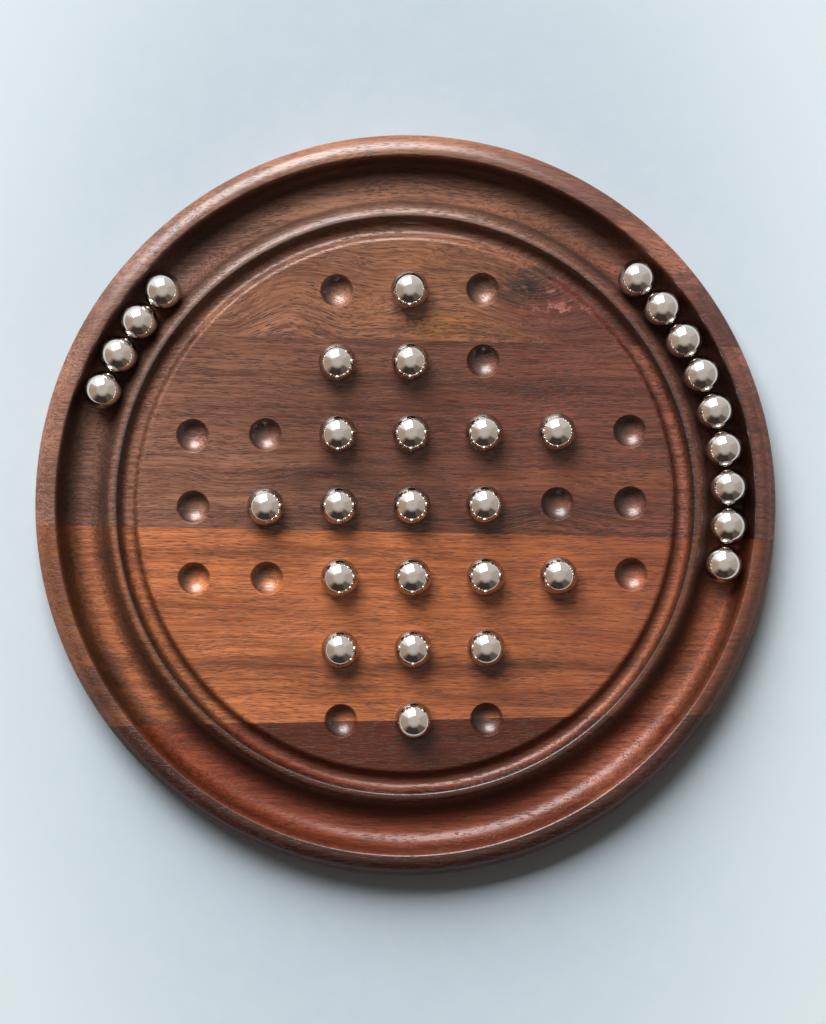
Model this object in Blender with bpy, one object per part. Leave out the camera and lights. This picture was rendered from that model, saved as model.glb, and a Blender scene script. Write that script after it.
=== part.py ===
"""Round peg solitaire board: four glued planks, turned and drilled as one, with thirty-two steel balls.

Metres, +Z up. The origin is the centre of the flat base. +X runs to the right along the rows of holes
and +Y up the columns, as a player reads the board. The section of the board is drawn once, from the
edge of the flat field outwards, and turned round the Z axis.
"""

import math

import bmesh
import bpy
from mathutils import Matrix, Vector

# The balls and the clearances that everything on the board follows
BALL_DIAMETER = 0.0156
SEAT_GAP = 0.0003
BALL_GAP = 0.0003
CUT_OVERRUN = 0.004

# The cross of holes: dots are empty holes, letters o are holes with a ball in them
CROSS = (
    "  .o.  ",
    "  oo.  ",
    "..oooo.",
    ".oooo..",
    "..oooo.",
    "  ooo  ",
    "  .o.  ",
)
COLUMN_PITCH = 0.0299
ROW_PITCH = 0.0294
CROSS_SHIFT = 0.00265
HOLE_DEPTH = 0.0038
FIELD_MARGIN = 0.0051

# Heights of the turned section above the table
GROOVE_FLOOR = 0.0070
GROOVE_DEPTH = 0.0105
FIELD_DROP = 0.0025
LIP_RISE = 0.0008

# Radii and slopes of the mouldings, from the field outwards
FIELD_EDGE_ROUND = 0.0025
CHANNEL_RADIUS = 0.0037
CHANNEL_INNER_ANGLE = math.radians(60)
CHANNEL_WALL_ANGLE = math.radians(50)
LIP_ROUND = 0.0063
LIP_TILT = math.radians(5)
GROOVE_ROOM = 0.0016
GROOVE_WALL_ANGLE = math.radians(62)
RIM_ROUND = 0.0084
BASE_ROUND = 0.0070

# The glue joints, from the back to the front: where each crosses the Y axis and how it is turned
JOINT_CROSSINGS = (0.0679, -0.0111, -0.0882)
JOINT_TURNS = (math.radians(-1.9), math.radians(-1.7), math.radians(0.6))
GLUE_GAP = 0.0003

# The balls waiting in the groove: the first one's angle and how many follow it, anticlockwise
RIGHT_FIRST_ANGLE = math.radians(-11.1)
RIGHT_COUNT = 9
LEFT_FIRST_ANGLE = math.radians(138.0)
LEFT_COUNT = 4

# How finely round things are divided
TURNING_STEPS = 64
FIELD_EDGE_STEPS = 3
CHANNEL_STEPS = 6
LIP_STEPS = 4
GROOVE_STEPS = 10
RIM_STEPS = 6
BASE_STEPS = 4
BALL_SEGMENTS = 14
BALL_RINGS = 8
SMOOTH_ANGLE = math.radians(35)

# Sizes worked out from the ones above
BALL_RADIUS = BALL_DIAMETER / 2
SEAT_RADIUS = BALL_RADIUS + SEAT_GAP
RIM_HEIGHT = GROOVE_FLOOR + GROOVE_DEPTH
FIELD_HEIGHT = RIM_HEIGHT - FIELD_DROP
LIP_HEIGHT = FIELD_HEIGHT + LIP_RISE
SEAT_HEIGHT = FIELD_HEIGHT - HOLE_DEPTH + SEAT_RADIUS
MOUTH_RADIUS = math.sqrt(SEAT_RADIUS ** 2 - (SEAT_HEIGHT - FIELD_HEIGHT) ** 2)
GROOVE_RADIUS = BALL_RADIUS + GROOVE_ROOM

PLANK_NAMES = ("back_plank", "upper_middle_plank", "lower_middle_plank", "front_plank")
PLANK_COLOURS = (
    (0.200, 0.090, 0.060),
    (0.140, 0.060, 0.042),
    (0.225, 0.080, 0.042),
    (0.110, 0.036, 0.025),
)


def remove_old_objects():
    for item in list(bpy.data.objects):
        bpy.data.objects.remove(item, do_unlink=True)


def make_material(name, colour, roughness, metallic):
    material = bpy.data.materials.new(name)
    material.use_nodes = True
    shader = material.node_tree.nodes["Principled BSDF"]
    shader.inputs["Base Color"].default_value = (*colour, 1.0)
    shader.inputs["Roughness"].default_value = roughness
    shader.inputs["Metallic"].default_value = metallic
    return material


def new_object(name, mesh, material=None):
    item = bpy.data.objects.new(name, mesh)
    bpy.context.scene.collection.objects.link(item)
    if material is not None and not mesh.materials:
        mesh.materials.append(material)
    return item


def mesh_from(bm, name):
    bmesh.ops.recalc_face_normals(bm, faces=bm.faces)
    mesh = bpy.data.meshes.new(name)
    bm.to_mesh(mesh)
    bm.free()
    return mesh


def hide_as_cutter(item):
    item.hide_render = True
    item.display_type = "WIRE"
    return item


def holes():
    """Each hole's name, its centre in plan, and whether a ball sits in it."""
    middle_column = len(CROSS[0]) // 2
    middle_row = len(CROSS) // 2
    for row, line in enumerate(CROSS):
        for column, mark in enumerate(line):
            if mark == " ":
                continue
            name = "abcdefg"[column] + str(row + 1)
            x = (column - middle_column) * COLUMN_PITCH + CROSS_SHIFT
            y = (middle_row - row) * ROW_PITCH
            yield name, Vector((x, y, 0)), mark == "o"


def field_radius():
    """The flat field reaches a margin beyond the mouth of the hole that lies furthest out."""
    return max(centre.length for _, centre, _ in holes()) + MOUTH_RADIUS + FIELD_MARGIN


def hollow(start, radius, first_slope, last_slope, steps):
    """A hollow arc that carries on from a point, falling at its first slope and rising at its last."""
    centre = (start[0] + radius * math.sin(first_slope), start[1] + radius * math.cos(first_slope))
    for step in range(1, steps + 1):
        slope = -first_slope + (first_slope + last_slope) * step / steps
        yield centre[0] + radius * math.sin(slope), centre[1] - radius * math.cos(slope)


def roundover(start, radius, first_slope, last_slope, steps):
    """A round arc that carries on from a point, from falling at its first slope to its last."""
    centre = (start[0] - radius * math.sin(first_slope), start[1] - radius * math.cos(first_slope))
    for step in range(1, steps + 1):
        slope = first_slope + (last_slope - first_slope) * step / steps
        yield centre[0] + radius * math.sin(slope), centre[1] + radius * math.cos(slope)


def wall(foot, angle, height):
    """Where a straight wall that leans outwards reaches a height."""
    return foot[0] + (height - foot[1]) / math.tan(angle), height


def ogee_slope():
    """How steep the lip's roundover and the groove's hollow both are where they meet."""
    radii = LIP_ROUND + GROOVE_RADIUS
    crest = LIP_ROUND * math.cos(LIP_TILT) + GROOVE_RADIUS
    return math.acos((crest - LIP_HEIGHT + GROOVE_FLOOR) / radii)


def mouldings():
    """The section from the edge of the flat field to where the lip's roundover meets the groove."""
    points = [(field_radius(), FIELD_HEIGHT)]
    points += roundover(points[-1], FIELD_EDGE_ROUND, 0, CHANNEL_INNER_ANGLE, FIELD_EDGE_STEPS)
    points += hollow(points[-1], CHANNEL_RADIUS, CHANNEL_INNER_ANGLE, CHANNEL_WALL_ANGLE, CHANNEL_STEPS)
    points += [wall(points[-1], CHANNEL_WALL_ANGLE, LIP_HEIGHT)]
    points += roundover(points[-1], LIP_ROUND, LIP_TILT, ogee_slope(), LIP_STEPS)
    return points


def groove_centre_radius():
    """The radius of the circle on which the balls in the groove stand."""
    return mouldings()[-1][0] + GROOVE_RADIUS * math.sin(ogee_slope())


def section():
    """The turned section, as radius and height, from the field's edge out and round to the base."""
    points = mouldings()
    points += hollow(points[-1], GROOVE_RADIUS, ogee_slope(), GROOVE_WALL_ANGLE, GROOVE_STEPS)
    points += [wall(points[-1], GROOVE_WALL_ANGLE, RIM_HEIGHT)]
    points += roundover(points[-1], RIM_ROUND, 0, math.pi / 2, RIM_STEPS)
    points += [(points[-1][0], BASE_ROUND)]
    points += roundover(points[-1], BASE_ROUND, math.pi / 2, math.pi, BASE_STEPS)
    return points


def turned_blank():
    """The whole board as turned, before it is told apart into planks: a closed disc."""
    bm = bmesh.new()
    ring = [bm.verts.new((radius, 0, height)) for radius, height in section()]
    edges = [bm.edges.new(pair) for pair in zip(ring, ring[1:])]
    bmesh.ops.spin(bm, geom=ring + edges, cent=(0, 0, 0), axis=(0, 0, 1), angle=math.tau,
                   steps=TURNING_STEPS, use_merge=True)
    bmesh.ops.holes_fill(bm, edges=bm.edges, sides=0)
    return mesh_from(bm, "turned_blank")


def board_edge():
    return max(radius for radius, _ in section())


def joint_height(number, x, side):
    """Where a glue joint's face lies in Y at a place along X; side is +1 above the glue, -1 below."""
    slope = math.tan(JOINT_TURNS[number])
    return JOINT_CROSSINGS[number] + x * slope + side * GLUE_GAP / 2


def plank_cutter(number):
    """A slab that holds one plank's share of the blank, between its two glue joints."""
    reach = board_edge() + CUT_OVERRUN
    corners = []
    for x in (-reach, reach):
        corners.append((x, joint_height(number - 1, x, -1) if number > 0 else reach))
    for x in (reach, -reach):
        corners.append((x, joint_height(number, x, 1) if number < len(JOINT_TURNS) else -reach))

    bm = bmesh.new()
    floor = [bm.verts.new((x, y, -CUT_OVERRUN)) for x, y in corners]
    base = bm.faces.new(floor)
    grown = bmesh.ops.extrude_face_region(bm, geom=[base])
    top = [part for part in grown["geom"] if isinstance(part, bmesh.types.BMVert)]
    bmesh.ops.translate(bm, verts=top, vec=(0, 0, RIM_HEIGHT + 2 * CUT_OVERRUN))
    name = PLANK_NAMES[number] + "_cutter"
    return hide_as_cutter(new_object(name, mesh_from(bm, name)))


def add_ball(bm, centre, radius):
    bmesh.ops.create_uvsphere(bm, u_segments=BALL_SEGMENTS, v_segments=BALL_RINGS, radius=radius,
                              matrix=Matrix.Translation(centre))


def hole_cutter():
    """Every hole's round bottom at once: each is a ball with the seat's clearance all round it."""
    bm = bmesh.new()
    for _, centre, _ in holes():
        add_ball(bm, centre + Vector((0, 0, SEAT_HEIGHT)), SEAT_RADIUS)
    return hide_as_cutter(new_object("hole_cutter", mesh_from(bm, "hole_cutter")))


def cut(item, cutter, operation):
    step = item.modifiers.new(cutter.name, "BOOLEAN")
    step.operation = operation
    step.object = cutter
    step.solver = "EXACT"


def make_planks():
    blank = turned_blank()
    round_bottoms = hole_cutter()
    for number, (name, colour) in enumerate(zip(PLANK_NAMES, PLANK_COLOURS)):
        mesh = blank.copy()
        mesh.name = name
        mesh.shade_smooth()
        mesh.set_sharp_from_angle(angle=SMOOTH_ANGLE)
        plank = new_object(name, mesh, make_material(name + "_wood", colour, 0.42, 0.0))
        cut(plank, plank_cutter(number), "INTERSECT")
        cut(plank, round_bottoms, "DIFFERENCE")


def ball_mesh():
    bm = bmesh.new()
    add_ball(bm, (0, 0, 0), BALL_RADIUS)
    mesh = mesh_from(bm, "ball")
    mesh.shade_smooth()
    mesh.materials.append(make_material("polished_steel", (0.80, 0.78, 0.74), 0.06, 1.0))
    return mesh


def seat_balls(mesh):
    """The balls in the holes, each with its origin on the line along which it lifts out."""
    for name, centre, has_ball in holes():
        if has_ball:
            ball = new_object("ball_" + name, mesh)
            ball.location = (centre.x, centre.y, SEAT_HEIGHT)


def line_up_balls(mesh, side, first_angle, count):
    """A row of touching balls in the groove, each under an empty on the board's axis."""
    radius = groove_centre_radius()
    spacing = 2 * math.asin((BALL_DIAMETER + BALL_GAP) / 2 / radius)
    for number in range(count):
        name = f"groove_ball_{side}_{number + 1}"
        pivot = bpy.data.objects.new(name + "_pivot", None)
        bpy.context.scene.collection.objects.link(pivot)
        pivot.rotation_euler = (0, 0, first_angle + number * spacing)
        ball = new_object(name, mesh)
        ball.parent = pivot
        ball.location = (radius, 0, GROOVE_FLOOR + SEAT_GAP + BALL_RADIUS)


remove_old_objects()
make_planks()
steel_ball = ball_mesh()
seat_balls(steel_ball)
line_up_balls(steel_ball, "right", RIGHT_FIRST_ANGLE, RIGHT_COUNT)
line_up_balls(steel_ball, "left", LEFT_FIRST_ANGLE, LEFT_COUNT)
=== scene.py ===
import math

import bmesh
import bpy
from mathutils import Matrix, Vector


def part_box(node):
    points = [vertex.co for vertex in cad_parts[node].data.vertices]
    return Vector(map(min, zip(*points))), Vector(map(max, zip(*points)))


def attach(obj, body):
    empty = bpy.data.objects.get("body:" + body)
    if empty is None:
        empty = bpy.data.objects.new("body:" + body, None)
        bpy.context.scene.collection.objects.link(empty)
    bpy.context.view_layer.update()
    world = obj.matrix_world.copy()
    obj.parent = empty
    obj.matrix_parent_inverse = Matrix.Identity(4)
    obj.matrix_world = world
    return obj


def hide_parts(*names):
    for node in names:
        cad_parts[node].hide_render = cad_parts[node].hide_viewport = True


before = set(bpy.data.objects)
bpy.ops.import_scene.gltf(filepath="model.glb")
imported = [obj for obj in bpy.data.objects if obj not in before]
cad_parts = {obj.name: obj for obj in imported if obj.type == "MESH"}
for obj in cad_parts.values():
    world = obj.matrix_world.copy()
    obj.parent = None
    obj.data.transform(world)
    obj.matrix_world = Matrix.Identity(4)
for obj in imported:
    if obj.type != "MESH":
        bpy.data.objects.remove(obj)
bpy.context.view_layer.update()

# The turned board. Four planks of dark brown hardwood are glued edge to edge and turned on a lathe: a flat
# field, a hollow channel, a rounded lip, the groove for captured balls and a rounded rim. Then the
# thirty-three holes are sunk in the field with a round-nosed cutter, and the whole gets a satin finish.
PLANKS = ("back_plank", "upper_middle_plank", "lower_middle_plank", "front_plank")
plank_boxes = [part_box(plank) for plank in PLANKS]
board_radius = max(high.x for low, high in plank_boxes)
rim_height = max(high.z for low, high in plank_boxes)


def ball_centre(ball):
    low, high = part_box(ball)
    return (low + high) / 2


ball_low, ball_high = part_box("ball_d4")
ball_radius = (ball_high.z - ball_low.z) / 2
SEAT_CLEARANCE = 0.0003
bowl_radius = ball_radius + SEAT_CLEARANCE
groove_ball = ball_centre("groove_ball_left_1")
groove_centre = groove_ball.xy.length
groove_floor = groove_ball.z - bowl_radius

FIELD_DROP = 0.0025
LIP_RISE = 0.0008
FIELD_EDGE_ROUND = 0.0025
CHANNEL_RADIUS = 0.0037
CHANNEL_INNER_SLOPE = math.radians(60)
CHANNEL_WALL_SLOPE = math.radians(50)
LIP_ROUND = 0.0063
LIP_TILT = math.radians(5)
GROOVE_ROOM = 0.0016
GROOVE_WALL_SLOPE = math.radians(66)
BASE_ROUND = 0.0070
LIP_ARRIS = 0.0009
RIM_ARRIS = 0.0010
MOUTH_ARRIS = 0.00025
ARC_STEP = math.radians(5)
LATHE_STEPS = 240
BOWL_STEPS = 64
HOLLOW, ROUND = 1, -1
field_height = rim_height - FIELD_DROP
groove_radius = ball_radius + GROOVE_ROOM


def turn_tip(bm, tip, form, radius, slope, next_slope):
    """Draws an arc on from the tip of a profile. A slope is how far the wood's face leans outwards there."""
    centre = tip.co + form * radius * Vector((math.sin(slope), 0, math.cos(slope)))
    turn = next_slope - slope
    steps = math.ceil(abs(turn) / ARC_STEP)
    made = bmesh.ops.spin(bm, geom=[tip], cent=centre, axis=(0, 1, 0), angle=turn, steps=steps)
    return next(part for part in made["geom_last"] if isinstance(part, bmesh.types.BMVert))


def draw_line(bm, tip, x, z):
    end = bmesh.ops.extrude_vert_indiv(bm, verts=[tip])["verts"][0]
    end.co = (x, 0, z)
    return end


def draw_inwards(bm, bottom):
    """From the bottom of the groove up over the lip, through the channel and on to the flat field."""
    crest = LIP_ROUND * math.cos(LIP_TILT) + groove_radius
    ogee = math.acos((crest - field_height - LIP_RISE + groove_floor) / (LIP_ROUND + groove_radius))
    tip = turn_tip(bm, bottom, HOLLOW, groove_radius, 0, ogee)
    tip = turn_tip(bm, tip, ROUND, LIP_ROUND, ogee, LIP_TILT)
    tip = turn_tip(bm, tip, ROUND, LIP_ARRIS, LIP_TILT, -CHANNEL_WALL_SLOPE)

    edge_fall = FIELD_EDGE_ROUND * (1 - math.cos(CHANNEL_INNER_SLOPE))
    channel_fall = CHANNEL_RADIUS * (math.cos(CHANNEL_WALL_SLOPE) - math.cos(CHANNEL_INNER_SLOPE))
    foot = field_height - edge_fall - channel_fall
    tip = draw_line(bm, tip, tip.co.x - (tip.co.z - foot) / math.tan(CHANNEL_WALL_SLOPE), foot)
    tip = turn_tip(bm, tip, HOLLOW, CHANNEL_RADIUS, -CHANNEL_WALL_SLOPE, CHANNEL_INNER_SLOPE)
    turn_tip(bm, tip, ROUND, FIELD_EDGE_ROUND, CHANNEL_INNER_SLOPE, 0)


def draw_outwards(bm, bottom):
    """From the bottom of the groove up its outer wall, over the rim and under to the flat base."""
    tip = turn_tip(bm, bottom, HOLLOW, groove_radius, 0, -GROOVE_WALL_SLOPE)
    top = rim_height - RIM_ARRIS * (1 - math.cos(GROOVE_WALL_SLOPE))
    tip = draw_line(bm, tip, tip.co.x + (top - tip.co.z) / math.tan(GROOVE_WALL_SLOPE), top)
    tip = turn_tip(bm, tip, ROUND, RIM_ARRIS, -GROOVE_WALL_SLOPE, 0)
    tip = turn_tip(bm, tip, ROUND, board_radius - tip.co.x, 0, math.radians(90))
    tip = draw_line(bm, tip, tip.co.x, BASE_ROUND)
    turn_tip(bm, tip, ROUND, BASE_ROUND, math.radians(90), math.radians(180))


def turn_on_axis(bm, steps):
    bmesh.ops.spin(bm, geom=bm.verts[:] + bm.edges[:], cent=(0, 0, 0), axis=(0, 0, 1), angle=math.tau,
                   steps=steps, use_merge=True)


def cut_bowl():
    """One hole about the origin: a round bottom with clearance round the ball, and an eased mouth."""
    rise = middle.z - field_height + MOUTH_ARRIS
    slope = -math.acos(rise / (bowl_radius + MOUTH_ARRIS))
    bm = bmesh.new()
    tip = turn_tip(bm, bm.verts.new((0, 0, middle.z - bowl_radius)), HOLLOW, bowl_radius, 0, slope)
    turn_tip(bm, tip, ROUND, MOUTH_ARRIS, slope, 0)
    turn_on_axis(bm, BOWL_STEPS)
    bowl = bpy.data.meshes.new("bowl")
    bm.to_mesh(bowl)
    bm.free()
    return bowl


middle = ball_centre("ball_d4")
column_pitch = (ball_centre("ball_f3").x - ball_centre("ball_b4").x) / 4
row_pitch = (ball_centre("ball_d1").y - ball_centre("ball_d7").y) / 6
ARM = 1
REACH = 3

turned = bmesh.new()
groove_bottom = turned.verts.new((groove_centre, 0, groove_floor))
draw_inwards(turned, groove_bottom)
draw_outwards(turned, groove_bottom)
turn_on_axis(turned, LATHE_STEPS)
bowl = cut_bowl()
for column in range(-REACH, REACH + 1):
    for row in range(-REACH, REACH + 1):
        if min(abs(column), abs(row)) <= ARM:
            sunk = bowl.copy()
            sunk.transform(Matrix.Translation((middle.x + column * column_pitch, row * row_pitch, 0)))
            turned.from_mesh(sunk)
            bpy.data.meshes.remove(sunk)
bpy.data.meshes.remove(bowl)
open_edges = [edge for edge in turned.edges if edge.is_boundary]
field_edges = [edge for edge in open_edges if edge.verts[0].co.z > field_height / 2]
bmesh.ops.triangle_fill(turned, edges=field_edges, use_beauty=True, normal=(0, 0, 1))
bmesh.ops.holes_fill(turned, edges=[edge for edge in turned.edges if edge.is_boundary], sides=0)
bmesh.ops.recalc_face_normals(turned, faces=turned.faces)

JOINT_CROSSINGS = (0.0679, -0.0111, -0.0882)
JOINT_TURNS = (math.radians(-1.9), math.radians(-1.7), math.radians(0.6))
SHARP_ANGLE = math.radians(40)


def saw_plank(number):
    """Keeps one plank's share of the blank, between its two glue joints, and closes its glued faces."""
    bm = turned.copy()
    for joint, keep_front in ((number - 1, True), (number, False)):
        if joint not in range(len(JOINT_TURNS)):
            continue
        across = Vector((-math.sin(JOINT_TURNS[joint]), math.cos(JOINT_TURNS[joint]), 0))
        everything = bm.verts[:] + bm.edges[:] + bm.faces[:]
        bmesh.ops.bisect_plane(bm, geom=everything, plane_co=(0, JOINT_CROSSINGS[joint], 0), plane_no=across,
                               clear_outer=keep_front, clear_inner=not keep_front)
        bmesh.ops.holes_fill(bm, edges=[edge for edge in bm.edges if edge.is_boundary], sides=0)
    mesh = bpy.data.meshes.new(PLANKS[number])
    bm.to_mesh(mesh)
    bm.free()
    return mesh


def finish_plank(number, mesh, material):
    mesh.shade_smooth()
    mesh.set_sharp_from_angle(angle=SHARP_ANGLE)
    mesh.materials.append(material)
    plank = bpy.data.objects.new("turned_" + PLANKS[number], mesh)
    bpy.context.scene.collection.objects.link(plank)
    weighted = plank.modifiers.new("flat_field_stays_flat", "WEIGHTED_NORMAL")
    weighted.keep_sharp = True
    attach(plank, "board")
    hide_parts(PLANKS[number])


def add_node(tree, kind, sockets, **settings):
    """Adds a node and fills its open sockets, by name or place, with values or other nodes' results."""
    node = tree.nodes.new("ShaderNode" + kind)
    for name, value in settings.items():
        setattr(node, name, value)
    open_sockets = [socket for socket in node.inputs if socket.enabled]
    for key, value in sockets.items():
        socket = open_sockets[key] if isinstance(key, int) else node.inputs[key]
        if isinstance(value, bpy.types.Node):
            value = next(result for result in value.outputs if result.enabled)
        if isinstance(value, bpy.types.NodeSocket):
            tree.links.new(value, socket)
        else:
            socket.default_value = value
    return node


def maths(tree, operation, *values):
    return add_node(tree, "Math", dict(enumerate(values)), operation=operation)


def spread(tree, value, low, high, bottom=0.0, top=1.0):
    """Turns a value between low and high smoothly into one between bottom and top, held there beyond."""
    sockets = {0: value, 1: low, 2: high, 3: bottom, 4: top}
    return add_node(tree, "MapRange", sockets, interpolation_type="SMOOTHSTEP")


def blend(tree, share, first, second, mode="MIX"):
    return add_node(tree, "Mix", {0: share, 1: first, 2: second}, data_type="RGBA", blend_type=mode)


def stretched_noise(tree, place, cells, detail, roughness=0.5):
    """Noise with its cells counted per metre along, across and through the plank."""
    scaled = add_node(tree, "VectorMath", {0: place, 1: cells}, operation="MULTIPLY")
    sockets = {"Vector": scaled, "Scale": 1.0, "Detail": detail, "Roughness": roughness}
    return add_node(tree, "TexNoise", sockets)


DARK_GRAIN = (0.50, 0.44, 0.46, 1)
PALE_GRAIN = (1.60, 1.66, 1.60, 1)
OPEN_PORE = (0.050, 0.016, 0.008, 1)
SMOOTH_WOOD, ROUGH_PORE = 0.29, 0.50
PORE_DEPTH = 0.00008
PORE_RELIEF = 0.6


def grow_hardwood():
    """The grain that the four planks share. Its place has the fibres along X, in metres on the board."""
    tree = bpy.data.node_groups.new("hardwood_grain", "ShaderNodeTree")
    for name, kind in (("Place", "Vector"), ("Body", "Color"), ("Curl", "Float"), ("Streaks", "Float"),
                       ("Pores", "Float")):
        tree.interface.new_socket(name=name, in_out="INPUT", socket_type="NodeSocket" + kind)
    for name, kind in (("Colour", "Color"), ("Roughness", "Float"), ("Height", "Float")):
        tree.interface.new_socket(name=name, in_out="OUTPUT", socket_type="NodeSocket" + kind)
    given = tree.nodes.new("NodeGroupInput").outputs

    wander = stretched_noise(tree, given["Place"], (11, 26, 26), 2)
    drift = maths(tree, "MULTIPLY", maths(tree, "SUBTRACT", wander, 0.5), given["Curl"])
    shift = add_node(tree, "CombineXYZ", {1: drift, 2: drift})
    place = add_node(tree, "VectorMath", {0: given["Place"], 1: shift}, operation="ADD")

    bands = stretched_noise(tree, place, (5, 80, 50), 3, 0.6)
    lines = stretched_noise(tree, place, (24, 760, 500), 3, 0.65)
    fibres = stretched_noise(tree, place, (130, 2400, 1800), 2, 0.6)
    streak = maths(tree, "MULTIPLY_ADD", maths(tree, "SUBTRACT", bands, 0.5), 0.9, 0.0)
    streak = maths(tree, "MULTIPLY_ADD", maths(tree, "SUBTRACT", lines, 0.5), 1.5, streak)
    streak = maths(tree, "MULTIPLY_ADD", maths(tree, "SUBTRACT", fibres, 0.5), 1.5, streak)
    tone = spread(tree, maths(tree, "MULTIPLY_ADD", streak, given["Streaks"], 0.5), 0.0, 1.0)
    dark = blend(tree, 1.0, given["Body"], DARK_GRAIN, "MULTIPLY")
    pale = blend(tree, 1.0, given["Body"], PALE_GRAIN, "MULTIPLY")
    colour = blend(tree, tone, dark, pale)

    cells = add_node(tree, "VectorMath", {0: place, 1: (190, 2000, 1600)}, operation="MULTIPLY")
    vessels = add_node(tree, "TexVoronoi", {"Vector": cells, "Scale": 1.0, "Randomness": 1.0}, feature="F1")
    crowd = stretched_noise(tree, place, (40, 160, 120), 2)
    reach = spread(tree, crowd, 0.25, 0.60, 0.18, 0.42)
    pore = spread(tree, maths(tree, "SUBTRACT", reach, vessels), 0.0, 0.10)
    colour = blend(tree, maths(tree, "MULTIPLY", pore, given["Pores"]), colour, OPEN_PORE)

    result = tree.nodes.new("NodeGroupOutput").inputs
    tree.links.new(colour.outputs["Result"], result["Colour"])
    tree.links.new(spread(tree, pore, 0.0, 1.0, SMOOTH_WOOD, ROUGH_PORE).outputs[0], result["Roughness"])
    sunk = maths(tree, "MULTIPLY_ADD", pore, -1.0, maths(tree, "MULTIPLY", fibres, 0.25))
    tree.links.new(sunk.outputs[0], result["Height"])
    return tree


hardwood_grain = grow_hardwood()


def coloured_along(tree, place, stops):
    """A plank's broad colours from left to right: places along X with the colour of the wood there."""
    along = add_node(tree, "SeparateXYZ", {0: place})
    wobble = stretched_noise(tree, place, (9, 35, 35), 3)
    wobble = maths(tree, "MULTIPLY", maths(tree, "SUBTRACT", wobble, 0.5), board_radius)
    share = maths(tree, "DIVIDE", maths(tree, "ADD", along.outputs[0], wobble), 2 * board_radius)
    ramp = add_node(tree, "ValToRGB", {0: maths(tree, "ADD", share, 0.5)})
    ramp.color_ramp.interpolation = "B_SPLINE"
    for stop, (x, colour) in enumerate(stops):
        element = ramp.color_ramp.elements[stop] if stop < 2 else ramp.color_ramp.elements.new(1)
        element.position = x / (2 * board_radius) + 0.5
        element.color = (*colour, 1)
    return ramp


def near_spot(tree, place, spot, reach, ragged):
    """How near a place is to a spot: 1 in its middle, falling to 0 at its reach along and across."""
    off = add_node(tree, "VectorMath", {0: place, 1: (*spot, 0)}, operation="SUBTRACT")
    off = add_node(tree, "VectorMath", {0: off, 1: (1 / reach[0], 1 / reach[1], 0)}, operation="MULTIPLY")
    away = add_node(tree, "VectorMath", {0: off}, operation="LENGTH").outputs["Value"]
    wobble = stretched_noise(tree, place, (45, 210, 150), 3)
    away = maths(tree, "MULTIPLY_ADD", maths(tree, "SUBTRACT", wobble, 0.5), ragged, away)
    return spread(tree, away, 0.0, 1.0, 1.0, 0.0)


def bend_fibres(tree, place, spot, reach, lift):
    """Lets the fibres pass round a spot."""
    share = near_spot(tree, place, spot, reach, 0.0)
    return add_node(tree, "VectorMath", {0: share, 1: (0, -lift, 0), 2: place}, operation="MULTIPLY_ADD")


def stain_and_sheen_spot(tree, place, colour, spot, reach, tone, share, breaks):
    """Gives the wood another tone round a spot, in one soft patch or broken up into small ones. Most spots
    are the wood's own figure; one on the back rim is a painted sheen.
    """
    patch = near_spot(tree, place, spot, reach, 1.4)
    if breaks:
        flecks = stretched_noise(tree, place, (190, 240, 190), 3, 0.6)
        patch = maths(tree, "MULTIPLY", patch, spread(tree, flecks, breaks, breaks + 0.09))
    return blend(tree, maths(tree, "MULTIPLY", patch, share), colour, (*tone, 1))


def from_axis(tree, place, unit):
    """How far a place is from the board's axis, counted in a unit."""
    flat = add_node(tree, "VectorMath", {0: place, 1: (1 / unit, 1 / unit, 0)}, operation="MULTIPLY")
    return add_node(tree, "VectorMath", {0: flat}, operation="LENGTH").outputs["Value"]


def ring_tones(tree, out, rings):
    """Painted shade and highlight: how much darker or paler the wood is painted at each distance from the
    axis, which is counted in the board's radius.
    """
    ramp = add_node(tree, "ValToRGB", {0: out})
    for stop, (distance, tone) in enumerate(rings):
        element = ramp.color_ramp.elements[stop] if stop < 2 else ramp.color_ramp.elements.new(1)
        element.position = distance / board_radius
        element.color = (tone, tone, tone, 1)
    return ramp


RINGS_MEET = -0.03, 0.03


def paint_moulding_light_and_shade(tree, place, colour, left_rings, right_rings):
    """Painted shade and highlight on the mouldings: darker in their hollows and on walls turned from the
    light, paler along lines where sheen falls, not quite alike at a plank's two ends.
    """
    out = from_axis(tree, place, board_radius)
    side = spread(tree, add_node(tree, "SeparateXYZ", {0: place}).outputs["X"], *RINGS_MEET)
    tones = blend(tree, side, ring_tones(tree, out, left_rings), ring_tones(tree, out, right_rings))
    return blend(tree, 1.0, colour, tones, "MULTIPLY")


FIELD_REACH = 0.1088, 0.1098
MOUTH_FADE = 0.0012, 0.0001


def in_holes(tree, place):
    """1 down in the holes and 0 on the flat field and beyond it."""
    level = add_node(tree, "SeparateXYZ", {0: place}).outputs["Z"]
    foot, top = (field_height - depth for depth in MOUTH_FADE)
    below = spread(tree, level, foot, top, 1.0, 0.0)
    out = add_node(tree, "VectorMath", {0: place}, operation="LENGTH").outputs["Value"]
    return maths(tree, "MULTIPLY", below, spread(tree, out, *FIELD_REACH, 1.0, 0.0))


# Painted light and shade in the holes, set by which way each wall faces.
LIT_FACING = (-0.30, 0.30, 0.90)
LIT_TO_SHADED = 0.15, 0.95
LIT_TONE, SHADED_TONE = 1.35, 0.13


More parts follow.
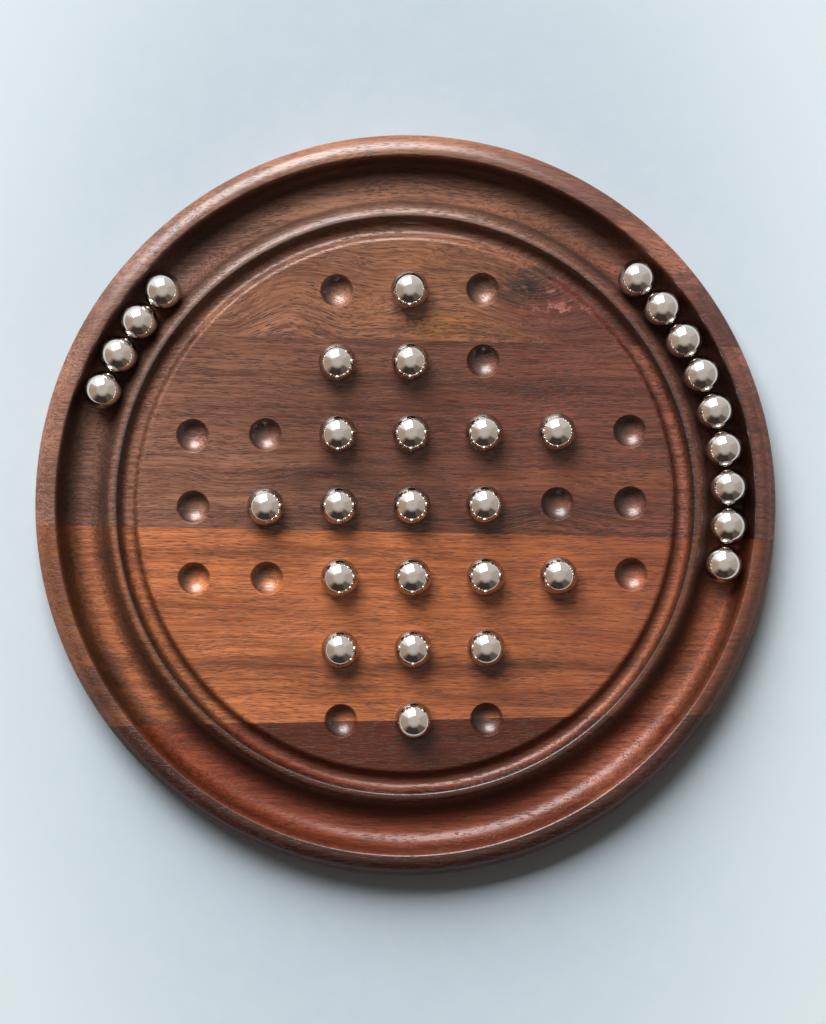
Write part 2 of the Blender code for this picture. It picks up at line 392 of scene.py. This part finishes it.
def paint_hole_light_and_shade(tree, hollow, colour):
    """Painted light and shade in the holes: walls facing the window are painted paler, and the back left
    walls, turned from it, much darker.
    """
    facing = add_node(tree, "TexCoord", {}).outputs["Normal"]
    turned_from_light = add_node(tree, "VectorMath", {0: facing, 1: LIT_FACING}, operation="DISTANCE")
    tone = spread(tree, turned_from_light.outputs["Value"], *LIT_TO_SHADED, LIT_TONE, SHADED_TONE)
    return blend(tree, hollow, colour, blend(tree, 1.0, colour, tone, "MULTIPLY"))


RIM_SHINE_STARTS = 0.1426, 0.1436
RIM_SHINE_ENDS = 0.1486, 0.1508
RIM_SHINE = 0.8
ARRIS_MIDDLE = 0.1197
ARRIS_SHINE_ENDS = 0.0008, 0.0013
SHINE_ROUGHNESS = 0.34


def coat_rim_and_holes(tree, place, hollow):
    """The rim's top, the lip's arris and the holes, which hands touch and polish most, shine more."""
    out = from_axis(tree, place, 1)
    before_edge = spread(tree, out, *RIM_SHINE_ENDS, RIM_SHINE, 0.0)
    on_rim = maths(tree, "MULTIPLY", spread(tree, out, *RIM_SHINE_STARTS), before_edge)
    off_arris = maths(tree, "ABSOLUTE", maths(tree, "SUBTRACT", out, ARRIS_MIDDLE))
    on_arris = spread(tree, off_arris, *ARRIS_SHINE_ENDS, 1.0, 0.0)
    return maths(tree, "MAXIMUM", hollow, maths(tree, "MAXIMUM", on_rim, on_arris))


DULL_STARTS = 0.1213, 0.1226
DULL_ENDS = 0.1305, 0.1335
EDGE_DULL_STARTS = 0.1496, 0.1512
DULL_WOOD = 0.66


def dull_groove(tree, place, roughness):
    """The lip, the groove's inner side and the edge were sanded across the grain and shine less."""
    out = from_axis(tree, place, 1)
    beyond_arris = spread(tree, out, *DULL_STARTS)
    before_wall = spread(tree, out, *DULL_ENDS, 1.0, 0.0)
    dull = maths(tree, "MULTIPLY", beyond_arris, before_wall)
    dull = maths(tree, "MAXIMUM", dull, spread(tree, out, *EDGE_DULL_STARTS))
    return add_node(tree, "Mix", {0: dull, 1: roughness, 2: DULL_WOOD}, data_type="FLOAT")


def finish_wood(name, turn, stops, bends, spots, rings, curl, streaks, pores):
    """One plank's wood under a thin satin finish."""
    material = bpy.data.materials.new(name)
    material.use_nodes = True
    tree = material.node_tree
    shader = tree.nodes["Principled BSDF"]
    here = add_node(tree, "TexCoord", {}).outputs["Object"]
    place = here
    for bend in bends:
        place = bend_fibres(tree, place, *bend)
    place = add_node(tree, "Mapping", {0: place, 2: (0, 0, -turn)}, vector_type="POINT")
    body = coloured_along(tree, here, stops)
    for spot in spots:
        body = stain_and_sheen_spot(tree, here, body, *spot)
    hollow = in_holes(tree, here)
    # The body colour gets painted shade and highlight on the mouldings and painted light and shade in the
    # holes.
    body = paint_hole_light_and_shade(tree, hollow, paint_moulding_light_and_shade(tree, here, body, *rings))
    grain = tree.nodes.new("ShaderNodeGroup")
    grain.node_tree = hardwood_grain
    for key, value in (("Curl", curl), ("Streaks", streaks), ("Pores", pores)):
        grain.inputs[key].default_value = value
    tree.links.new(place.outputs[0], grain.inputs["Place"])
    tree.links.new(body.outputs["Result"], grain.inputs["Body"])
    tree.links.new(grain.outputs["Colour"], shader.inputs["Base Color"])
    shine = dull_groove(tree, here, grain.outputs["Roughness"])
    tree.links.new(shine.outputs["Result"], shader.inputs["Roughness"])
    tree.links.new(coat_rim_and_holes(tree, here, hollow).outputs[0], shader.inputs["Coat Weight"])
    shader.inputs["Coat Roughness"].default_value = SHINE_ROUGHNESS
    relief = {"Strength": PORE_RELIEF, "Distance": PORE_DEPTH, "Height": grain.outputs["Height"]}
    relief = add_node(tree, "Bump", relief)
    tree.links.new(relief.outputs[0], shader.inputs["Normal"])
    tree.links.new(relief.outputs[0], shader.inputs["Coat Normal"])
    return material


# Painted shade and highlight on the mouldings: distances from the board's axis with how much darker or paler
# the wood is painted there.
BACK_PAINTED_LIGHT_RINGS = (
    (0.0, 1.0), (0.1125, 1.0), (0.1145, 0.6), (0.1175, 0.30), (0.1190, 0.5), (0.1205, 0.90),
    (0.1220, 0.6), (0.1238, 0.30), (0.1249, 0.25), (0.1265, 0.80), (0.1300, 0.85), (0.1330, 0.60),
    (0.1375, 0.25), (0.1426, 0.2), (0.1437, 0.9), (0.1490, 0.95), (0.1524, 0.95))
UPPER_LEFT_PAINTED_LIGHT_RINGS = (
    (0.0, 1.0), (0.1098, 1.0), (0.1112, 0.5), (0.1124, 0.9), (0.1145, 1.1), (0.1161, 0.5),
    (0.1175, 0.16), (0.1188, 0.12), (0.1199, 0.7), (0.1212, 0.95), (0.1223, 0.25), (0.1259, 0.3),
    (0.1290, 0.65), (0.1330, 0.75), (0.1375, 0.25), (0.1426, 0.09), (0.1440, 0.85), (0.1480, 1.0),
    (0.1524, 1.1))
UPPER_RIGHT_PAINTED_LIGHT_RINGS = (
    (0.0, 1.0), (0.1098, 1.0), (0.1112, 0.45), (0.1124, 0.85), (0.1136, 1.5), (0.1150, 1.65),
    (0.1161, 1.2), (0.1173, 0.43), (0.1186, 0.12), (0.1198, 0.5), (0.1210, 1.0), (0.1223, 0.4),
    (0.1247, 0.35), (0.1300, 0.9), (0.1330, 1.0), (0.1375, 0.45), (0.1426, 0.12), (0.1442, 0.45),
    (0.1456, 1.25), (0.1485, 1.0), (0.1500, 1.55), (0.1524, 1.7))
LOWER_LEFT_PAINTED_LIGHT_RINGS = (
    (0.0, 1.0), (0.1098, 1.0), (0.1112, 0.2), (0.1124, 0.34), (0.1140, 0.8), (0.1152, 0.75),
    (0.1173, 0.13), (0.1188, 0.05), (0.1198, 0.6), (0.1210, 0.5), (0.1222, 0.12), (0.1247, 0.17),
    (0.1272, 0.25), (0.1309, 0.76), (0.1333, 0.74), (0.1370, 0.31), (0.1395, 0.15), (0.1425, 0.06),
    (0.1440, 0.42), (0.1470, 0.36), (0.1524, 0.55))
LOWER_RIGHT_PAINTED_LIGHT_RINGS = (
    (0.0, 1.0), (0.1098, 1.2), (0.1112, 0.32), (0.1124, 0.52), (0.1140, 0.88), (0.1152, 1.25),
    (0.1161, 1.2), (0.1173, 0.37), (0.1186, 0.12), (0.1198, 0.72), (0.1210, 0.54), (0.1223, 0.16),
    (0.1259, 0.28), (0.1284, 0.57), (0.1309, 1.05), (0.1358, 1.2), (0.1376, 1.6), (0.1395, 0.75),
    (0.1419, 0.25), (0.1444, 0.8), (0.1460, 0.75), (0.1485, 0.47), (0.1500, 0.58), (0.1524, 0.7))
FRONT_PAINTED_LIGHT_RINGS = (
    (0.0, 1.0), (0.1125, 1.0), (0.1145, 1.6), (0.1163, 2.3), (0.1172, 0.8), (0.1182, 0.15),
    (0.1189, 0.8), (0.1194, 1.0), (0.1202, 0.7), (0.1220, 0.5), (0.1249, 0.4), (0.1290, 1.2),
    (0.1325, 2.4), (0.1375, 2.4), (0.1400, 1.5), (0.1420, 0.7), (0.1434, 1.8), (0.1441, 0.5),
    (0.1475, 0.65), (0.1524, 0.75))

back_wood = finish_wood(
    "back_plank_wood", math.radians(-1.0),
    ((-0.11, (0.185, 0.076, 0.050)), (0.0, (0.350, 0.142, 0.070)), (0.10, (0.100, 0.024, 0.018))),
    (((-0.043, 0.088), (0.034, 0.026), 0.009), ((0.054, 0.086), (0.030, 0.024), -0.010),
     ((0.000, 0.142), (0.060, 0.020), 0.004)),
    (((0.018, 0.072), (0.026, 0.010), (0.300, 0.122, 0.040), 0.8, 0),
     ((-0.052, 0.076), (0.016, 0.008), (0.460, 0.200, 0.130), 0.6, 0),
     ((0.084, 0.076), (0.036, 0.016), (0.105, 0.026, 0.022), 0.85, 0),
     ((0.058, 0.084), (0.028, 0.018), (0.120, 0.032, 0.027), 0.95, 0),
     ((0.050, 0.090), (0.016, 0.013), (0.016, 0.017, 0.013), 1.0, 0.38),
     ((0.060, 0.082), (0.018, 0.010), (0.520, 0.200, 0.170), 0.9, 0.52),
     # A painted sheen: a pale pinkish patch on the back left rim, where the window's reflection falls.
     ((-0.108, 0.100), (0.040, 0.036), (0.360, 0.190, 0.150), 0.7, 0),
     ((0.106, 0.098), (0.034, 0.034), (0.400, 0.140, 0.080), 0.8, 0)),
    (BACK_PAINTED_LIGHT_RINGS, BACK_PAINTED_LIGHT_RINGS), 0.030, 1.0, 0.85)
upper_wood = finish_wood(
    "upper_middle_plank_wood", math.radians(-1.8),
    ((-0.11, (0.290, 0.125, 0.080)), (0.0, (0.098, 0.030, 0.014)), (0.10, (0.170, 0.055, 0.036))),
    (((0.060, -0.004), (0.045, 0.012), 0.004), ((-0.070, 0.010), (0.040, 0.014), -0.003)),
    (((-0.034, 0.013), (0.048, 0.011), (0.040, 0.010, 0.005), 0.9, 0),
     ((-0.090, 0.004), (0.050, 0.006), (0.280, 0.120, 0.066), 0.7, 0),
     ((-0.060, 0.018), (0.040, 0.004), (0.330, 0.150, 0.095), 0.6, 0),
     ((0.070, 0.010), (0.060, 0.009), (0.235, 0.075, 0.036), 0.7, 0),
     ((0.060, -0.004), (0.070, 0.004), (0.085, 0.032, 0.022), 0.8, 0),
     ((0.150, 0.020), (0.026, 0.070), (0.085, 0.026, 0.016), 0.8, 0)),
    (UPPER_LEFT_PAINTED_LIGHT_RINGS, UPPER_RIGHT_PAINTED_LIGHT_RINGS), 0.012, 1.1, 0.85)
lower_wood = finish_wood(
    "lower_middle_plank_wood", math.radians(-1.2),
    ((-0.11, (0.590, 0.190, 0.076)), (0.0, (0.410, 0.125, 0.040)), (0.10, (0.225, 0.062, 0.028))),
    (((0.040, -0.060), (0.060, 0.014), 0.003),),
    (((-0.060, -0.019), (0.080, 0.004), (0.220, 0.070, 0.034), 0.6, 0),
     ((-0.062, -0.044), (0.050, 0.012), (0.290, 0.082, 0.032), 0.7, 0),
     ((-0.050, -0.066), (0.070, 0.014), (0.250, 0.074, 0.026), 0.8, 0),
     ((0.040, -0.066), (0.100, 0.005), (0.130, 0.038, 0.016), 0.9, 0),
     ((0.050, -0.079), (0.090, 0.006), (0.170, 0.048, 0.020), 0.8, 0),
     ((-0.126, -0.079), (0.018, 0.032), (0.150, 0.045, 0.020), 0.7, 0),
     ((-0.096, -0.056), (0.026, 0.026), (0.300, 0.090, 0.036), 0.6, 0),
     ((0.092, -0.080), (0.030, 0.012), (0.340, 0.105, 0.050), 0.6, 0),
     ((-0.092, -0.086), (0.024, 0.018), (0.200, 0.060, 0.028), 0.6, 0)),
    (LOWER_LEFT_PAINTED_LIGHT_RINGS, LOWER_RIGHT_PAINTED_LIGHT_RINGS), 0.008, 0.85, 0.55)
front_wood = finish_wood(
    "front_plank_wood", math.radians(0.6),
    ((-0.11, (0.085, 0.017, 0.006)), (0.0, (0.098, 0.020, 0.008)), (0.10, (0.080, 0.016, 0.006))),
    (),
    (((-0.114, -0.112), (0.030, 0.022), (0.055, 0.012, 0.006), 0.8, 0),
     ((0.090, -0.106), (0.050, 0.026), (0.190, 0.058, 0.032), 0.8, 0)),
    (FRONT_PAINTED_LIGHT_RINGS, FRONT_PAINTED_LIGHT_RINGS), 0.010, 0.9, 0.6)
for number, wood in enumerate((back_wood, upper_wood, lower_wood, front_wood)):
    finish_plank(number, saw_plank(number), wood)
turned.free()

# The balls. Thirty-two ball bearings of polished steel, ground and lapped to a mirror, lie loose in the
# holes and in the groove; nothing holds them but their own weight.
ball_nodes = sorted(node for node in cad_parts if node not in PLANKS)
BALL_CUTS = 5


def grind_ball(node):
    bm = bmesh.new()
    bmesh.ops.create_icosphere(bm, subdivisions=BALL_CUTS, radius=ball_radius)
    bmesh.ops.translate(bm, verts=bm.verts, vec=ball_centre(node))
    mesh = bpy.data.meshes.new("ground_" + node)
    bm.to_mesh(mesh)
    bm.free()
    mesh.shade_smooth()
    return mesh


BRIGHT_STEEL = (0.82, 0.79, 0.75, 1)
DULL_STEEL = (0.76, 0.73, 0.69, 1)
SHADED_EDGE_STEEL = (0.50, 0.46, 0.43, 1)
SMEAR_REACH = 0.40, 0.70
SHADED_EDGE_REACH = 0.32, 0.50
STEEL_ROUGHNESS = 0.035, 0.075
steel = bpy.data.materials.new("polished_steel")
steel.use_nodes = True
steel_tree = steel.node_tree
steel_shader = steel_tree.nodes["Principled BSDF"]
steel_place = add_node(steel_tree, "TexCoord", {}).outputs["Object"]
smears = stretched_noise(steel_tree, steel_place, (260, 260, 260), 3, 0.6)
smear = spread(steel_tree, smears, *SMEAR_REACH)
steel_tone = blend(steel_tree, smear, BRIGHT_STEEL, DULL_STEEL)
# Painted shade: the steel is darker where it turns away from the view, so each ball shows a darker ring
# round its outline.
turned_away = add_node(steel_tree, "LayerWeight", {"Blend": 0.5}).outputs["Facing"]
painted_edge_shade = spread(steel_tree, turned_away, *SHADED_EDGE_REACH)
steel_tone = blend(steel_tree, painted_edge_shade, steel_tone, SHADED_EDGE_STEEL)
steel_tree.links.new(steel_tone.outputs["Result"], steel_shader.inputs["Base Color"])
steel_shine = spread(steel_tree, smears, *SMEAR_REACH, *STEEL_ROUGHNESS)
steel_tree.links.new(steel_shine.outputs[0], steel_shader.inputs["Roughness"])
steel_shader.inputs["Metallic"].default_value = 1
for node in ball_nodes:
    ball = bpy.data.objects.new("ground_" + node, grind_ball(node))
    bpy.context.scene.collection.objects.link(ball)
    ball.data.materials.append(steel)
    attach(ball, node)
    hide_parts(node)

# The table top: a smooth sheet of pale blue card under the board. Its colour carries painted shade and
# light: darker round the board and paler towards its corners.
FLOOR_REACH = 4.0
NEAR_TONE = (0.640, 0.758, 0.850, 1)
FAR_TONE = (0.830, 0.950, 1.000, 1)
NEAR, FAR = 0.120, 0.250
SQUEEZE = (1.16, 0.64, 0)
MOTTLE = 0.10
CARD_ROUGHNESS = 0.9
CARD_SPECULAR = 0.2
bm = bmesh.new()
bmesh.ops.create_grid(bm, x_segments=1, y_segments=1, size=FLOOR_REACH)
floor_mesh = bpy.data.meshes.new("pale_blue_table")
bm.to_mesh(floor_mesh)
bm.free()
floor = bpy.data.objects.new("pale_blue_table", floor_mesh)
bpy.context.scene.collection.objects.link(floor)
card = bpy.data.materials.new("pale_blue_card")
card.use_nodes = True
card_tree = card.node_tree
card_place = add_node(card_tree, "TexCoord", {}).outputs["Object"]
squeezed = add_node(card_tree, "VectorMath", {0: card_place, 1: SQUEEZE}, operation="MULTIPLY")
from_middle = add_node(card_tree, "VectorMath", {0: squeezed}, operation="LENGTH").outputs["Value"]
# Painted shade and light: the card is painted darker near the middle and paler further out.
painted_light_paling = spread(card_tree, from_middle, NEAR, FAR)
mottle = stretched_noise(card_tree, card_place, (60, 60, 60), 5, 0.8)
card_tone = blend(card_tree, painted_light_paling, NEAR_TONE, FAR_TONE)
card_tone = blend(card_tree, spread(card_tree, mottle, 0.3, 0.7, 0.0, MOTTLE), card_tone, (1, 1, 1, 1))
card_shader = card_tree.nodes["Principled BSDF"]
card_tree.links.new(card_tone.outputs["Result"], card_shader.inputs["Base Color"])
card_shader.inputs["Roughness"].default_value = CARD_ROUGHNESS
card_shader.inputs["Specular IOR Level"].default_value = CARD_SPECULAR
floor_mesh.materials.append(card)

# The light: one large window at the back left, in a dim room. Polished things show more of the room: its
# pale ceiling, the wall round the window, a beige wall at the left and dark things in front.
WINDOW_AZIMUTH = math.radians(107)
WINDOW_ELEVATION = math.radians(35)
WINDOW_DISTANCE = 10.0
WINDOW_SIZE = 7.6
WINDOW_POWER = 1600
window = bpy.data.lights.new("window", "AREA")
window.shape = "SQUARE"
window.size = WINDOW_SIZE
window.energy = WINDOW_POWER
lamp = bpy.data.objects.new("window", window)
bpy.context.scene.collection.objects.link(lamp)
towards = Vector((math.cos(WINDOW_AZIMUTH) * math.cos(WINDOW_ELEVATION),
                  math.sin(WINDOW_AZIMUTH) * math.cos(WINDOW_ELEVATION), math.sin(WINDOW_ELEVATION)))
lamp.location = towards * WINDOW_DISTANCE
lamp.rotation_mode = "QUATERNION"
lamp.rotation_quaternion = towards.to_track_quat("Z", "Y")
lamp.visible_camera = False

ROOM_ROUND = ((-180, (0.42, 0.32, 0.25)), (-150, (0.42, 0.32, 0.25)), (-140, (0.24, 0.16, 0.12)),
              (-126, (0.05, 0.035, 0.03)), (-74, (0.05, 0.035, 0.03)), (-60, (0.12, 0.095, 0.075)),
              (-38, (0.13, 0.10, 0.08)), (-22, (0.42, 0.36, 0.32)), (20, (0.46, 0.40, 0.35)),
              (38, (0.62, 0.57, 0.54)), (78, (0.66, 0.62, 0.60)), (88, (1.0, 0.98, 0.96)),
              (146, (1.0, 0.98, 0.96)), (156, (0.50, 0.40, 0.34)), (180, (0.42, 0.32, 0.25)))
CEILING = (0.56, 0.51, 0.47, 1)
CEILING_EDGE = math.sin(math.radians(42)), math.sin(math.radians(78))
DIM_ROOM = (0.085, 0.072, 0.062, 1)
room = bpy.data.worlds.new("dim_room")
room.use_nodes = True
room_tree = room.node_tree
direction = add_node(room_tree, "TexCoord", {}).outputs["Generated"]
looking = add_node(room_tree, "SeparateXYZ", {0: direction}).outputs
round_the_room = maths(room_tree, "ARCTAN2", looking["Y"], looking["X"])
share_of_turn = maths(room_tree, "MULTIPLY_ADD", round_the_room, 1 / math.tau, 0.5)
walls = add_node(room_tree, "ValToRGB", {0: share_of_turn})
for stop, (azimuth, tone) in enumerate(ROOM_ROUND):
    element = walls.color_ramp.elements[stop] if stop < 2 else walls.color_ramp.elements.new(1)
    element.position = azimuth / 360 + 0.5
    element.color = (*tone, 1)
walls.color_ramp.interpolation = "EASE"
overhead = spread(room_tree, looking["Z"], *CEILING_EDGE)
picture = blend(room_tree, overhead, walls, CEILING)
ray = add_node(room_tree, "LightPath", {}).outputs
mirrored = maths(room_tree, "MAXIMUM", ray["Is Glossy Ray"], ray["Is Transmission Ray"])
seen = maths(room_tree, "MAXIMUM", ray["Is Camera Ray"], mirrored)
room_tone = blend(room_tree, seen, DIM_ROOM, picture)
room_tree.links.new(room_tone.outputs["Result"], room_tree.nodes["Background"].inputs["Color"])
bpy.context.scene.world = room

# The camera looks straight down, a little to the right of the board's middle, and is turned half a degree
# against the rows of holes. Its lens shows one pixel of the picture as the named width at the field's level.
VIEW_PLACE = Vector((0.0031, -0.0028, 1.5))
VIEW_TURN = math.radians(-0.56)
PICTURE_LONG_SIDE = 1024
PIXEL_WIDTH = 0.00041206
PIXEL_LEVEL = 0.009
view = bpy.data.cameras.new("straight_down")
view.lens = view.sensor_width * (VIEW_PLACE.z - PIXEL_LEVEL) / PIXEL_WIDTH / PICTURE_LONG_SIDE
camera = bpy.data.objects.new("straight_down", view)
bpy.context.scene.collection.objects.link(camera)
camera.location = VIEW_PLACE
camera.rotation_euler = (0, 0, VIEW_TURN)
bpy.context.scene.camera = camera
bpy.context.scene.view_settings.view_transform = "Standard"
